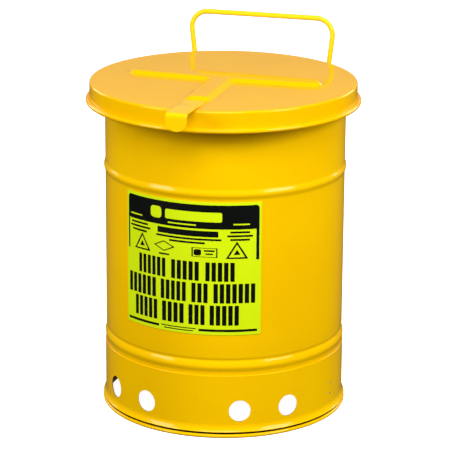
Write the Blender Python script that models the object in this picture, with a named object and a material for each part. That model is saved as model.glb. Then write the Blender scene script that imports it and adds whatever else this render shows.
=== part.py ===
"""Hand-operated oily waste can.

A beaded sheet-steel drum stands on a vented skirt, which lifts its floor clear of the ground. A flanged
lid turns on a pin hinge at the back, stops against a tongue at its widest and falls shut by its own weight.
A bent wire carrying handle is clamped to the back of the drum and stands up behind the lid.

Frame: +Z up, -Y the front with the lift tab, +X to the right of someone who faces the front. The origin is
on the ground, below the middle of the whole object's box. All lengths are in metres.
"""
import math

import bmesh
import bpy
from mathutils import Matrix, Vector

# General
SIDES = 60                      # facets round the drum and the lid
SHEET = 0.001                   # thickness of the drum, skirt and lid sheet
GAP = 0.0003                    # working gap between pieces that touch

# Drum
BODY_RADIUS = 0.142
BODY_BOTTOM = 0.058
RIM_TOP = 0.3948
RIM_RADIUS = 0.145
RIM_HEIGHT = 0.0052
UPPER_BEAD_HEIGHT = 0.2932
LOWER_BEAD_HEIGHT = 0.0865
BEAD_HALF_HEIGHT = 0.0072
UPPER_BEAD_DEPTH = 0.0017
LOWER_BEAD_DEPTH = 0.0014

# Raised floor
FLOOR_HEIGHT = 0.064
FLOOR_CORNER = 0.002

# Skirt and foot ring
SKIRT_RADIUS = BODY_RADIUS + GAP + SHEET
SKIRT_TOP = 0.0763
SKIRT_BOTTOM = 0.0073
FLARE_START = 0.0165
FLARE_RADIUS = 0.1463
VENT_RADIUS = 0.0127
VENT_HEIGHT = 0.033
VENT_ANGLES = (23.4, 47.5, 132.5, 156.6)
SMALL_HOLE_RADIUS = 0.0015
SMALL_HOLE_ANGLE = 77.5
SMALL_HOLE_HEIGHTS = (0.028, 0.041)
FOOT_RADIUS = 0.1465
FOOT_INNER_RADIUS = 0.1412
FOOT_HEIGHT = 0.0046
FOOT_LIP_TOP = 0.0165

# Lid
LID_CENTRE_Y = -0.0089
LID_TOP = 0.3961
LID_RADIUS = 0.157
LID_CORNER = 0.0026
CURL_RADIUS = 0.0028
CURL_CENTRE_RADIUS = 0.1588
CURL_HEIGHT = 0.3737

# Pressed T on the lid, measured from the lid's centre
RIB_HEIGHT = 0.0045
RIB_SLOPE = 0.007
RIB_BAR_Y = 0.0055
RIB_BAR_HALF_LENGTH = 0.120
RIB_BAR_HALF_WIDTH = 0.0215
RIB_BAR_END_HALF_WIDTH = 0.0145
RIB_BAR_END = 0.010
RIB_STEM_HALF_WIDTH = 0.016
RIB_STEM_END_Y = -0.112

# Lift tab
TAB_THICKNESS = 0.0015
TAB_HALF_WIDTH = 0.0122
TAB_TAIL_Y = -0.1255
TAB_LIFT_Y = -0.140
TAB_FRONT_Y = -0.1985
TAB_TOP = 0.3998
TAB_TIP = 0.3790

# Hinge
HINGE_Y = 0.158
HINGE_Z = 0.378
PIN_RADIUS = 0.0025
BORE_RADIUS = PIN_RADIUS + GAP
KNUCKLE_RADIUS = 0.0042
KNUCKLE_SIDES = 20
CENTRE_KNUCKLE_HALF = 0.020
SIDE_KNUCKLE_START = 0.0204
SIDE_KNUCKLE_END = 0.038
PIN_HEAD_THICKNESS = 0.002
LEAF_THICKNESS = 0.0012
LEAF_HALF_ANGLE = 14.5
LEAF_BOTTOM = 0.3810
LEAF_TOP = 0.3925
LUG_THICKNESS = 0.0018
BRACKET_THICKNESS = 0.0020
BRACKET_HALF_ANGLE = 16.0
BRACKET_BOTTOM = 0.322
BRACKET_TOP = 0.3615
STOP_HALF_WIDTH = 0.007
STOP_TOP = 0.3894

# Rivets
RIVET_RADIUS = 0.0016
RIVET_HEAD_RADIUS = 0.0031
RIVET_HEAD_HEIGHT = 0.0014
RIVET_TAIL_RADIUS = 0.0025
RIVET_TAIL_HEIGHT = 0.0008
BRACKET_RIVET_ANGLE = 11.0
BRACKET_RIVET_HEIGHTS = (0.331, 0.350)
LEAF_RIVET_X = 0.013
LEAF_RIVET_HEIGHT = 0.3873

# Carrying handle
WIRE_RADIUS = 0.0031
HANDLE_Y = 0.1614
GRIP_HEIGHT = 0.4395
GRIP_HALF_WIDTH = 0.0920
LEG_BEND = (0.0836, 0.364)
WALL_ANGLE = 34.0
LEG_FOOT_HEIGHT = 0.332
WIRE_END_HEIGHT = 0.3085
GRIP_CORNER_RADIUS = 0.020
LEG_CORNER_RADIUS = 0.012
CLAMP_BOTTOM = 0.3115
CLAMP_TOP = 0.3255
CLAMP_THICKNESS = 0.0012
CLAMP_REACH = 0.0155
CLAMP_RIVET_OFFSET = 0.0105

# Label
LABEL_THICKNESS = 0.0003
LABEL_MIDDLE = -1.5             # degrees round from the front
LABEL_HALF_ANGLE = 34.5
LABEL_BOTTOM = 0.1260
LABEL_TOP = 0.2846

# The box's middle is at y = 0, between the tab's front and the handle's back
AXIS_Y = -(TAB_FRONT_Y + HANDLE_Y + WIRE_RADIUS) / 2

PAINT_YELLOW = (0.90, 0.55, 0.008)
LABEL_LIME = (0.62, 0.85, 0.02)
ZINC = (0.62, 0.62, 0.60)


def clear_scene():
    for obj in list(bpy.data.objects):
        bpy.data.objects.remove(obj, do_unlink=True)


def surface(name, colour, roughness, metallic):
    """One Principled material, with its own name for each sub-part."""
    made = bpy.data.materials.new(name)
    made.use_nodes = True
    shader = made.node_tree.nodes["Principled BSDF"]
    shader.inputs["Base Color"].default_value = (*colour, 1)
    shader.inputs["Roughness"].default_value = roughness
    shader.inputs["Metallic"].default_value = metallic
    return made


def painted(name):
    return surface(name + "_paint", PAINT_YELLOW, 0.25, 0.0)


def zinc_plated(name):
    return surface(name + "_zinc", ZINC, 0.35, 1.0)


def add_empty(name, location, parent=None):
    empty = bpy.data.objects.new(name, None)
    bpy.context.collection.objects.link(empty)
    empty.location = location
    empty.parent = parent
    return empty


def add_mesh(name, bm, frame, material=None):
    """Link a closed bmesh, modelled in the drum's frame, under the empty that carries it."""
    bmesh.ops.recalc_face_normals(bm, faces=bm.faces)
    mesh = bpy.data.meshes.new(name)
    bm.to_mesh(mesh)
    bm.free()
    mesh.shade_smooth()
    mesh.set_sharp_from_angle(angle=math.radians(30))
    obj = bpy.data.objects.new(name, mesh)
    bpy.context.collection.objects.link(obj)
    obj.parent = frame
    if frame is not None and frame.parent is not None:
        obj.location = -frame.location
    if material is not None:
        mesh.materials.append(material)
    return obj


def hide(obj):
    obj.hide_render = True
    obj.display_type = "WIRE"
    return obj


def combine(target, operation, tool):
    modifier = target.modifiers.new(tool.name, "BOOLEAN")
    modifier.operation = operation
    modifier.object = hide(tool)


def turned(outline, centre_y=0.0, sides=SIDES):
    """Turn a closed outline of (radius, height) points about a vertical axis."""
    bm = bmesh.new()
    rings = []
    for radius, height in outline:
        if radius == 0:
            rings.append([bm.verts.new((0, centre_y, height))] * sides)
            continue
        ring = []
        for k in range(sides):
            angle = 2 * math.pi * k / sides
            ring.append(bm.verts.new((radius * math.sin(angle), centre_y - radius * math.cos(angle), height)))
        rings.append(ring)
    for ring, following in zip(rings, rings[1:] + rings[:1]):
        for k in range(sides):
            corners = [ring[k], ring[k - 1], following[k - 1], following[k]]
            corners = list(dict.fromkeys(corners))
            if len(corners) > 2:
                bm.faces.new(corners)
    return bm


def prism(outline, axis, low, high):
    """Extrude a closed outline along X (outline in y, z) or along Z (outline in x, y)."""
    bm = bmesh.new()
    ends = []
    for level in (low, high):
        if axis == "X":
            ends.append([bm.verts.new((level, a, b)) for a, b in outline])
        else:
            ends.append([bm.verts.new((a, b, level)) for a, b in outline])
    bm.faces.new(ends[0])
    bm.faces.new(ends[1])
    for k in range(len(outline)):
        bm.faces.new([ends[0][k - 1], ends[0][k], ends[1][k], ends[1][k - 1]])
    return bm


def polar(radius, angle, centre_y=0.0):
    """A point in plan. The angle is in degrees from the front, positive towards +X."""
    turn = math.radians(angle)
    return radius * math.sin(turn), centre_y - radius * math.cos(turn)


def curved_plate(inner, outer, middle, half_angle, low, high, centre_y=0.0):
    """A plate that hugs a round wall, with its facets on the wall's own facets."""
    facet = 360 / SIDES
    first = middle - half_angle
    last = middle + half_angle
    between = range(math.ceil(first / facet), math.floor(last / facet) + 1)
    angles = [first] + [k * facet for k in between if first < k * facet < last] + [last]
    outline = [polar(outer, angle, centre_y) for angle in angles]
    outline += [polar(inner, angle, centre_y) for angle in reversed(angles)]
    return prism(outline, "Z", low, high)


def add_round(bm, start, end, radius, sides):
    """Add a closed cylinder between two points to a bmesh."""
    start = Vector(start)
    along = Vector(end) - start
    turn = along.to_track_quat("Z", "Y").to_matrix().to_4x4()
    place = Matrix.Translation(start + along / 2) @ turn
    bmesh.ops.create_cone(bm, cap_ends=True, segments=sides, radius1=radius, radius2=radius,
                          depth=along.length, matrix=place)


def round_tool(name, spans, radius, frame, sides=12):
    """One cutter with a cylinder for each pair of end points."""
    bm = bmesh.new()
    for start, end in spans:
        add_round(bm, start, end, radius, sides)
    return add_mesh(name, bm, frame)


def bead(radius, height, depth, steps=4):
    """A rounded bead on a wall, from its top edge to its bottom edge."""
    points = []
    for k in range(steps + 1):
        t = 1 - 2 * k / steps
        points.append((radius + depth * math.cos(math.pi * t / 2) ** 2, height + BEAD_HALF_HEIGHT * t))
    return points


def wall(radius):
    """The drum's beaded wall at one radius, top to bottom."""
    points = bead(radius, UPPER_BEAD_HEIGHT, UPPER_BEAD_DEPTH)
    points += bead(radius, LOWER_BEAD_HEIGHT, LOWER_BEAD_DEPTH)
    points.append((radius, BODY_BOTTOM))
    return points


def build_body_shell(can):
    rim_bottom = RIM_TOP - RIM_HEIGHT
    corner = 0.0012
    inner = BODY_RADIUS - SHEET
    outline = [
        (inner, RIM_TOP - corner),
        (BODY_RADIUS, RIM_TOP),
        (RIM_RADIUS - corner, RIM_TOP),
        (RIM_RADIUS, RIM_TOP - corner),
        (RIM_RADIUS, rim_bottom + corner),
        (RIM_RADIUS - corner, rim_bottom),
        (BODY_RADIUS, rim_bottom),
    ]
    outline += wall(BODY_RADIUS)
    outline += reversed(wall(inner))
    return add_mesh("body_shell", turned(outline), can, painted("body_shell"))


def build_bottom_pan(can):
    outer = BODY_RADIUS - SHEET - GAP
    inner = outer - SHEET
    outline = [
        (0, FLOOR_HEIGHT),
        (outer - FLOOR_CORNER, FLOOR_HEIGHT),
        (outer, FLOOR_HEIGHT - FLOOR_CORNER),
        (outer, BODY_BOTTOM),
        (inner, BODY_BOTTOM),
        (inner, FLOOR_HEIGHT - FLOOR_CORNER - SHEET / 2),
        (inner - FLOOR_CORNER / 2, FLOOR_HEIGHT - SHEET),
        (0, FLOOR_HEIGHT - SHEET),
    ]
    return add_mesh("bottom_pan", turned(outline), can, painted("bottom_pan"))


def radial_span(angle, height, near, far, centre_y=0.0):
    """End points of a cylinder that crosses a wall along its own normal."""
    return (*polar(near, angle, centre_y), height), (*polar(far, angle, centre_y), height)


def build_base_skirt(can):
    inner = SKIRT_RADIUS - SHEET
    flare = FLARE_RADIUS - SKIRT_RADIUS
    outline = [
        (SKIRT_RADIUS, SKIRT_TOP),
        (SKIRT_RADIUS, FLARE_START),
        (SKIRT_RADIUS + flare * 0.45, FLARE_START * 0.65),
        (FLARE_RADIUS, SKIRT_BOTTOM + SHEET / 2),
        (FLARE_RADIUS - SHEET / 2, SKIRT_BOTTOM),
        (FLARE_RADIUS - SHEET, SKIRT_BOTTOM),
        (inner + flare * 0.45, FLARE_START * 0.62),
        (inner, FLARE_START),
        (inner, SKIRT_TOP),
    ]
    skirt = add_mesh("base_skirt", turned(outline), can, painted("base_skirt"))
    near = SKIRT_RADIUS - 0.015
    far = SKIRT_RADIUS + 0.015
    vents = []
    small_holes = []
    for side in (-1, 1):
        vents += [radial_span(side * angle, VENT_HEIGHT, near, far) for angle in VENT_ANGLES]
        small_holes += [radial_span(side * SMALL_HOLE_ANGLE, height, near, far)
                        for height in SMALL_HOLE_HEIGHTS]
    combine(skirt, "DIFFERENCE", round_tool("vent_cutter", vents, VENT_RADIUS, can, 24))
    combine(skirt, "DIFFERENCE", round_tool("small_hole_cutter", small_holes, SMALL_HOLE_RADIUS, can, 10))
    return skirt


def build_foot_ring(can):
    lip_outer = SKIRT_RADIUS - SHEET - GAP
    corner = 0.001
    outline = [
        (lip_outer, FOOT_LIP_TOP),
        (lip_outer, FOOT_HEIGHT),
        (FOOT_RADIUS - corner, FOOT_HEIGHT),
        (FOOT_RADIUS, FOOT_HEIGHT - corner),
        (FOOT_RADIUS, corner),
        (FOOT_RADIUS - corner, 0),
        (FOOT_INNER_RADIUS - SHEET / 2, 0),
        (FOOT_INNER_RADIUS - SHEET / 2, FOOT_LIP_TOP),
    ]
    return add_mesh("foot_ring", turned(outline), can, painted("foot_ring"))


def rib_outline(inset):
    """The T in plan, from its stem's front corner round to the same corner again."""
    stem = RIB_STEM_HALF_WIDTH - inset
    end = RIB_BAR_HALF_LENGTH - inset
    shoulder = RIB_BAR_HALF_LENGTH - RIB_BAR_END
    end_half = RIB_BAR_END_HALF_WIDTH - inset
    middle_half = RIB_BAR_HALF_WIDTH - inset
    front = RIB_STEM_END_Y + inset
    chamfer = 0.004
    right = [
        (stem - chamfer, front),
        (stem, front + chamfer),
        (stem, RIB_BAR_Y - middle_half),
        (shoulder, RIB_BAR_Y - end_half),
        (end, RIB_BAR_Y),
        (shoulder, RIB_BAR_Y + end_half),
    ]
    left = [(-x, y) for x, y in reversed(right)]
    return right + [(0, RIB_BAR_Y + middle_half)] + left


def build_rib(hinge):
    """The pressed T as a low solid, which is joined to the lid's top."""
    levels = (
        (LID_TOP - SHEET / 2, 0),
        (LID_TOP, 0),
        (LID_TOP + RIB_HEIGHT, RIB_SLOPE),
    )
    bm = bmesh.new()
    loops = []
    for height, inset in levels:
        loops.append([bm.verts.new((x, y + LID_CENTRE_Y, height)) for x, y in rib_outline(inset)])
    bm.faces.new(loops[0])
    bm.faces.new(loops[-1])
    for lower, upper in zip(loops, loops[1:]):
        for k in range(len(lower)):
            bm.faces.new([lower[k - 1], lower[k], upper[k], upper[k - 1]])
    return add_mesh("pressed_rib", bm, hinge)


def build_lid(hinge):
    inner = LID_RADIUS - SHEET
    curl = []
    for angle in (70, 35, 0, -35, -70, -110, -150):
        turn = math.radians(angle)
        radius = CURL_CENTRE_RADIUS + CURL_RADIUS * math.cos(turn)
        curl.append((radius, CURL_HEIGHT + CURL_RADIUS * math.sin(turn)))
    outline = [
        (0, LID_TOP),
        (LID_RADIUS - LID_CORNER, LID_TOP),
        (LID_RADIUS - LID_CORNER * 0.3, LID_TOP - LID_CORNER * 0.3),
        (LID_RADIUS, LID_TOP - LID_CORNER),
        (LID_RADIUS, CURL_HEIGHT + CURL_RADIUS * 1.6),
    ]
    outline += curl
    outline += [
        (inner, CURL_HEIGHT),
        (inner, LID_TOP - LID_CORNER),
        (inner - LID_CORNER * 0.5, LID_TOP - SHEET),
        (0, LID_TOP - SHEET),
    ]
    lid = add_mesh("lid_cover", turned(outline, LID_CENTRE_Y), hinge, painted("lid_cover"))
    combine(lid, "UNION", build_rib(hinge))
    return lid


def build_lift_tab(hinge):
    """A folded strip: a tail on the lid, a rise past its edge, and a rounded tongue that turns down."""
    half = TAB_THICKNESS / 2
    tail = LID_TOP + GAP + half
    top = TAB_TOP - half
    front = TAB_FRONT_Y + half
    narrow = TAB_HALF_WIDTH
    stations = [
        (TAB_TAIL_Y, tail, narrow),
        (TAB_LIFT_Y, tail, narrow),
        (TAB_LIFT_Y - 0.012, tail + (top - tail) * 0.35, narrow),
        (front + 0.004, top, narrow),
        (front + 0.0012, top - 0.0012, narrow),
        (front, top - 0.004, narrow * 0.97),
    ]
    drop = top - 0.004 - TAB_TIP
    for k in range(1, 6):
        t = k / 5
        stations.append((front, top - 0.004 - drop * t, narrow * (0.95 - 0.75 * t ** 4)))
    bm = bmesh.new()
    loops = []
    for k, (y, z, width) in enumerate(stations):
        before = Vector(stations[max(k - 1, 0)][:2])
        after = Vector(stations[min(k + 1, len(stations) - 1)][:2])
        along = (after - before).normalized()
        offset = Vector((-along.y, along.x)) * half
        corners = ((-width, 1), (width, 1), (width, -1), (-width, -1))
        loops.append([bm.verts.new((x, y + offset.x * s, z + offset.y * s)) for x, s in corners])
    bm.faces.new(loops[0])
    bm.faces.new(loops[-1])
    for lower, upper in zip(loops, loops[1:]):
        for k in range(4):
            bm.faces.new([lower[k - 1], lower[k], upper[k], upper[k - 1]])
    return add_mesh("lift_tab", bm, hinge, painted("lift_tab"))


def barrel_tool(name, frame, low, high):
    """A solid knuckle along the hinge line."""
    return round_tool(name, [((low, HINGE_Y, HINGE_Z), (high, HINGE_Y, HINGE_Z))], KNUCKLE_RADIUS, frame,
                      KNUCKLE_SIDES)


def bore_tool(name, frame):
    """The bore that runs through every knuckle."""
    reach = SIDE_KNUCKLE_END + 0.01
    return round_tool(name, [((-reach, HINGE_Y, HINGE_Z), (reach, HINGE_Y, HINGE_Z))], BORE_RADIUS, frame,
                      KNUCKLE_SIDES)


def drum_tool(name, frame, radius, centre_y):
    """A solid drum that trims an arm back to the wall that it starts from."""
    return add_mesh(name, turned([(0, 0.42), (radius, 0.42), (radius, 0.30), (0, 0.30)], centre_y), frame)


def build_hinge_bracket(can):
    """The fixed half: a plate on the drum, an arm to the centre knuckle, and the stop tongue."""
    inner = BODY_RADIUS + GAP
    outer = inner + BRACKET_THICKNESS
    plate = curved_plate(inner, outer, 180, BRACKET_HALF_ANGLE, BRACKET_BOTTOM, BRACKET_TOP)
    bracket = add_mesh("hinge_bracket", plate, can, painted("hinge_bracket"))
    back = HINGE_Y + KNUCKLE_RADIUS - 0.0004
    arm_outline = [
        (BODY_RADIUS - 0.004, BRACKET_TOP - 0.0040),
        (back - 0.0050, BRACKET_TOP - 0.0010),
        (back + 0.0016, BRACKET_TOP + 0.0050),
        (back + 0.0016, HINGE_Z + 0.0010),
        (back, HINGE_Z + 0.0010),
        (back, BRACKET_TOP + 0.0060),
        (back - 0.0057, BRACKET_TOP + 0.0010),
        (BODY_RADIUS - 0.004, BRACKET_TOP - 0.0020),
    ]
    arm = add_mesh("bracket_arm", prism(arm_outline, "X", -CENTRE_KNUCKLE_HALF, CENTRE_KNUCKLE_HALF), can)
    stop_outline = [
        (back, HINGE_Z - 0.0060),
        (back + 0.0016, HINGE_Z - 0.0060),
        (back + 0.0016, STOP_TOP),
        (back, STOP_TOP),
    ]
    stop = add_mesh("bracket_stop", prism(stop_outline, "X", -STOP_HALF_WIDTH, STOP_HALF_WIDTH), can)
    combine(arm, "UNION", barrel_tool("bracket_barrel", can, -CENTRE_KNUCKLE_HALF, CENTRE_KNUCKLE_HALF))
    combine(arm, "UNION", stop)
    combine(arm, "DIFFERENCE", drum_tool("bracket_trim", can, (inner + outer) / 2, 0.0))
    combine(bracket, "UNION", arm)
    combine(bracket, "DIFFERENCE", bore_tool("bracket_bore", can))
    return bracket


def build_hinge_leaf(hinge):
    """The moving half: a plate on the lid's flange with a knuckle on each side of the fixed one."""
    inner = LID_RADIUS + GAP
    outer = inner + LEAF_THICKNESS
    plate = curved_plate(inner, outer, 180, LEAF_HALF_ANGLE, LEAF_BOTTOM, LEAF_TOP, LID_CENTRE_Y)
    leaf = add_mesh("hinge_leaf", plate, hinge, painted("hinge_leaf"))
    near = HINGE_Y - 0.020
    crown = HINGE_Z + KNUCKLE_RADIUS
    lug_outline = [
        (near, crown + 0.0045),
        (HINGE_Y, crown),
        (HINGE_Y, crown - LUG_THICKNESS),
        (near, crown + 0.0045 - LUG_THICKNESS),
    ]
    for name, side in (("left", -1), ("right", 1)):
        low = min(side * SIDE_KNUCKLE_START, side * SIDE_KNUCKLE_END)
        high = max(side * SIDE_KNUCKLE_START, side * SIDE_KNUCKLE_END)
        lug = add_mesh("leaf_lug_" + name, prism(lug_outline, "X", low, high), hinge)
        combine(lug, "UNION", barrel_tool("leaf_barrel_" + name, hinge, low, high))
        trim = drum_tool("leaf_trim_" + name, hinge, (inner + outer) / 2, LID_CENTRE_Y)
        combine(lug, "DIFFERENCE", trim)
        combine(leaf, "UNION", lug)
    combine(leaf, "DIFFERENCE", bore_tool("leaf_bore", hinge))
    return leaf


def spindle(outline, start, direction):
    """A turned piece whose outline is measured along a direction from a start point."""
    bm = turned(outline, sides=16)
    turn = Vector(direction).to_track_quat("Z", "Y").to_matrix().to_4x4()
    bmesh.ops.transform(bm, matrix=Matrix.Translation(start) @ turn, verts=bm.verts)
    return bm


def build_hinge_pin(can):
    """A headed pin, held by a push-on cap at its other end."""
    head_start = -(SIDE_KNUCKLE_END + GAP + PIN_HEAD_THICKNESS)
    head_end = -(SIDE_KNUCKLE_END + GAP)
    tail = SIDE_KNUCKLE_END + 0.004
    outline = [
        (0, tail),
        (PIN_RADIUS * 0.7, tail),
        (PIN_RADIUS, tail - 0.0007),
        (PIN_RADIUS, head_end),
        (KNUCKLE_RADIUS, head_end),
        (KNUCKLE_RADIUS, head_start + 0.0006),
        (KNUCKLE_RADIUS * 0.8, head_start),
        (0, head_start),
    ]
    pin = spindle(outline, (0, HINGE_Y, HINGE_Z), (1, 0, 0))
    add_mesh("hinge_pin", pin, can, zinc_plated("hinge_pin"))
    cap_start = SIDE_KNUCKLE_END + GAP
    cap_outline = [
        (BORE_RADIUS, cap_start + 0.0018),
        (KNUCKLE_RADIUS * 0.85, cap_start + 0.0018),
        (KNUCKLE_RADIUS, cap_start + 0.0010),
        (KNUCKLE_RADIUS, cap_start),
        (BORE_RADIUS, cap_start),
    ]
    cap = spindle(cap_outline, (0, HINGE_Y, HINGE_Z), (1, 0, 0))
    add_mesh("pin_cap", cap, can, zinc_plated("pin_cap"))


def add_rivet(name, frame, angle, height, radii, centre_y, plates):
    """A domed rivet along a wall's normal, with a clearance hole through each plate that it joins.

    radii are the plates' outermost and innermost surfaces.
    """
    outer, inner = radii
    head = outer + GAP
    tail = inner - 2 * GAP
    outline = [
        (0, head + RIVET_HEAD_HEIGHT),
        (RIVET_HEAD_RADIUS * 0.6, head + RIVET_HEAD_HEIGHT * 0.85),
        (RIVET_HEAD_RADIUS, head + RIVET_HEAD_HEIGHT * 0.2),
        (RIVET_HEAD_RADIUS, head),
        (RIVET_RADIUS, head),
        (RIVET_RADIUS, tail),
        (RIVET_TAIL_RADIUS, tail),
        (RIVET_TAIL_RADIUS * 0.9, tail - RIVET_TAIL_HEIGHT),
        (0, tail - RIVET_TAIL_HEIGHT),
    ]
    direction = (*polar(1.0, angle), 0)
    add_mesh(name, spindle(outline, (0, centre_y, height), direction), frame, painted(name))
    span = radial_span(angle, height, inner - 0.004, outer + 0.004, centre_y)
    hole = round_tool(name + "_hole", [span], RIVET_RADIUS + GAP, frame)
    for plate in plates:
        combine(plate, "DIFFERENCE", hole)


def rounded_route(corners, radii, steps=5):
    """Points along straight runs joined by arcs, one radius for each inner corner."""
    points = [Vector(corners[0])]
    for before, corner, after, radius in zip(corners, corners[1:], corners[2:], radii):
        corner = Vector(corner)
        into = (Vector(before) - corner).normalized()
        out = (Vector(after) - corner).normalized()
        half = into.angle(out) / 2
        tangent = radius / math.tan(half)
        centre = corner + (into + out).normalized() * radius / math.sin(half)
        first = corner + into * tangent - centre
        last = corner + out * tangent - centre
        sweep = first.angle(last)
        hinge_line = first.cross(last)
        for k in range(steps + 1):
            points.append(centre + Matrix.Rotation(sweep * k / steps, 3, hinge_line) @ first)
    points.append(Vector(corners[-1]))
    return points


def build_handle(can):
    """A round wire: level grip, two legs behind the lid, and feet that run down the drum's wall."""
    seat_radius = BODY_RADIUS + GAP + WIRE_RADIUS
    foot_x, foot_y = polar(seat_radius, 180 - WALL_ANGLE)
    corners = [
        (0, HANDLE_Y, GRIP_HEIGHT),
        (GRIP_HALF_WIDTH, HANDLE_Y, GRIP_HEIGHT),
        (LEG_BEND[0], HANDLE_Y, LEG_BEND[1]),
        (foot_x, foot_y, LEG_FOOT_HEIGHT),
        (foot_x, foot_y, WIRE_END_HEIGHT),
    ]
    right = rounded_route(corners, (GRIP_CORNER_RADIUS, LEG_CORNER_RADIUS, LEG_CORNER_RADIUS))[1:]
    left = [Vector((-p.x, p.y, p.z)) for p in reversed(right)]
    route = left + right
    curve = bpy.data.curves.new("carry_handle", "CURVE")
    curve.dimensions = "3D"
    curve.bevel_depth = WIRE_RADIUS
    curve.bevel_resolution = 2
    curve.use_fill_caps = True
    spline = curve.splines.new("POLY")
    spline.points.add(len(route) - 1)
    for point, place in zip(spline.points, route):
        point.co = (*place, 1)
    curve.materials.append(painted("carry_handle"))
    handle = bpy.data.objects.new("carry_handle", curve)
    bpy.context.collection.objects.link(handle)
    handle.parent = can
    return handle


def build_clamp(name, can, side):
    """A saddle over the wire's foot: two feet on the wall and a bridge between them."""
    low = BODY_RADIUS + GAP
    high = low + 2 * WIRE_RADIUS + 2 * GAP
    wall_gap = WIRE_RADIUS + GAP
    under = [
        (-CLAMP_REACH, low),
        (-CLAMP_REACH / 2, low),
        (-wall_gap, low),
        (-wall_gap, high - 0.0015),
        (-wall_gap + 0.0015, high),
        (wall_gap - 0.0015, high),
        (wall_gap, high - 0.0015),
        (wall_gap, low),
        (CLAMP_REACH / 2, low),
        (CLAMP_REACH, low),
    ]
    leg = wall_gap + CLAMP_THICKNESS
    over = [
        (-CLAMP_REACH, low + CLAMP_THICKNESS),
        (-leg, low + CLAMP_THICKNESS),
        (-leg, high - 0.0015),
        (-leg + 0.0020, high + CLAMP_THICKNESS),
        (leg - 0.0020, high + CLAMP_THICKNESS),
        (leg, high - 0.0015),
        (leg, low + CLAMP_THICKNESS),
        (CLAMP_REACH, low + CLAMP_THICKNESS),
    ]
    middle = side * (180 - WALL_ANGLE)
    outline = []
    for sideways, radius in under + over[::-1]:
        outline.append(polar(radius, middle + math.degrees(sideways / BODY_RADIUS)))
    return add_mesh(name, prism(outline, "Z", CLAMP_BOTTOM, CLAMP_TOP), can, painted(name))


def build_label(can):
    inner = BODY_RADIUS + GAP
    outer = inner + LABEL_THICKNESS
    plate = curved_plate(inner, outer, LABEL_MIDDLE, LABEL_HALF_ANGLE, LABEL_BOTTOM, LABEL_TOP)
    vinyl = surface("front_label_vinyl", LABEL_LIME, 0.3, 0.0)
    return add_mesh("front_label", plate, can, vinyl)


def add_bracket_rivets(can, shell, bracket):
    surfaces = (BODY_RADIUS + GAP + BRACKET_THICKNESS, BODY_RADIUS - SHEET)
    for row, height in (("lower", BRACKET_RIVET_HEIGHTS[0]), ("upper", BRACKET_RIVET_HEIGHTS[1])):
        for side, turn in (("left", 1), ("right", -1)):
            add_rivet("bracket_rivet_" + row + "_" + side, can, 180 + turn * BRACKET_RIVET_ANGLE, height,
                      surfaces, 0.0, (shell, bracket))


def add_leaf_rivets(hinge, lid, leaf):
    surfaces = (LID_RADIUS + GAP + LEAF_THICKNESS, LID_RADIUS - SHEET)
    turn = math.degrees(math.asin(LEAF_RIVET_X / LID_RADIUS))
    for side, sign in (("left", 1), ("right", -1)):
        add_rivet("leaf_rivet_" + side, hinge, 180 + sign * turn, LEAF_RIVET_HEIGHT, surfaces,
                  LID_CENTRE_Y, (lid, leaf))


def add_clamps(can, shell):
    surfaces = (BODY_RADIUS + GAP + CLAMP_THICKNESS, BODY_RADIUS - SHEET)
    height = (CLAMP_BOTTOM + CLAMP_TOP) / 2
    spread = math.degrees(CLAMP_RIVET_OFFSET / BODY_RADIUS)
    for side, sign in (("left", -1), ("right", 1)):
        clamp = build_clamp("handle_clamp_" + side, can, sign)
        for place, turn in (("outer", -1), ("inner", 1)):
            angle = sign * (180 - WALL_ANGLE + turn * spread)
            add_rivet("clamp_rivet_" + side + "_" + place, can, angle, height, surfaces, 0.0, (shell, clamp))


def build_can():
    clear_scene()
    can = add_empty("can_axis", (0, AXIS_Y, 0))
    hinge = add_empty("hinge_axis", (0, HINGE_Y, HINGE_Z), can)
    shell = build_body_shell(can)
    build_bottom_pan(can)
    build_base_skirt(can)
    build_foot_ring(can)
    build_label(can)
    lid = build_lid(hinge)
    build_lift_tab(hinge)
    bracket = build_hinge_bracket(can)
    leaf = build_hinge_leaf(hinge)
    build_hinge_pin(can)
    build_handle(can)
    add_bracket_rivets(can, shell, bracket)
    add_leaf_rivets(hinge, lid, leaf)
    add_clamps(can, shell)


build_can()
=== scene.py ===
"""Visual model of a hand-operated oily waste can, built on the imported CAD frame.

Every piece is modelled in the drum's own frame: +Z is up, the lift tab is at the front on -Y, and the drum's
axis is at x = 0 and y = 0. It is then moved to where the CAD frame has that axis. Lengths are in metres.
Angles are in degrees, measured from the front and positive towards +X.
"""
import math

import bmesh
import bpy
from mathutils import Matrix, Vector


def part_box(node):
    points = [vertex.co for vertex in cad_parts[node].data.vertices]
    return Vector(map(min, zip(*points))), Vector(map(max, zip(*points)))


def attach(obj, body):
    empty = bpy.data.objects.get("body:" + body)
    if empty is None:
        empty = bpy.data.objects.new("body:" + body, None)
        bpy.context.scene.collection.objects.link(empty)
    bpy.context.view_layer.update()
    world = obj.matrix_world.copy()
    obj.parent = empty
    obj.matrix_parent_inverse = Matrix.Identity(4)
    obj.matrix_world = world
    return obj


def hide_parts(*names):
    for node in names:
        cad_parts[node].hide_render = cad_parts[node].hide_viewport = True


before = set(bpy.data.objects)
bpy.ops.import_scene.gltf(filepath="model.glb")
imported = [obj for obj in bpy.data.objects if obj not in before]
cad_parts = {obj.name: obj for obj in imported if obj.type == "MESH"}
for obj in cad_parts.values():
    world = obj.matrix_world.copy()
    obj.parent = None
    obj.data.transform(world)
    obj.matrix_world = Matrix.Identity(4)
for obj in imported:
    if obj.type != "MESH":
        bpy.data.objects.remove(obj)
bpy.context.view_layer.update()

# Where the frame has the drum's axis
SHELL_LOW, SHELL_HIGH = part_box("body_shell")
AXIS = Vector((0, (SHELL_LOW.y + SHELL_HIGH.y) / 2, 0))

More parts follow.
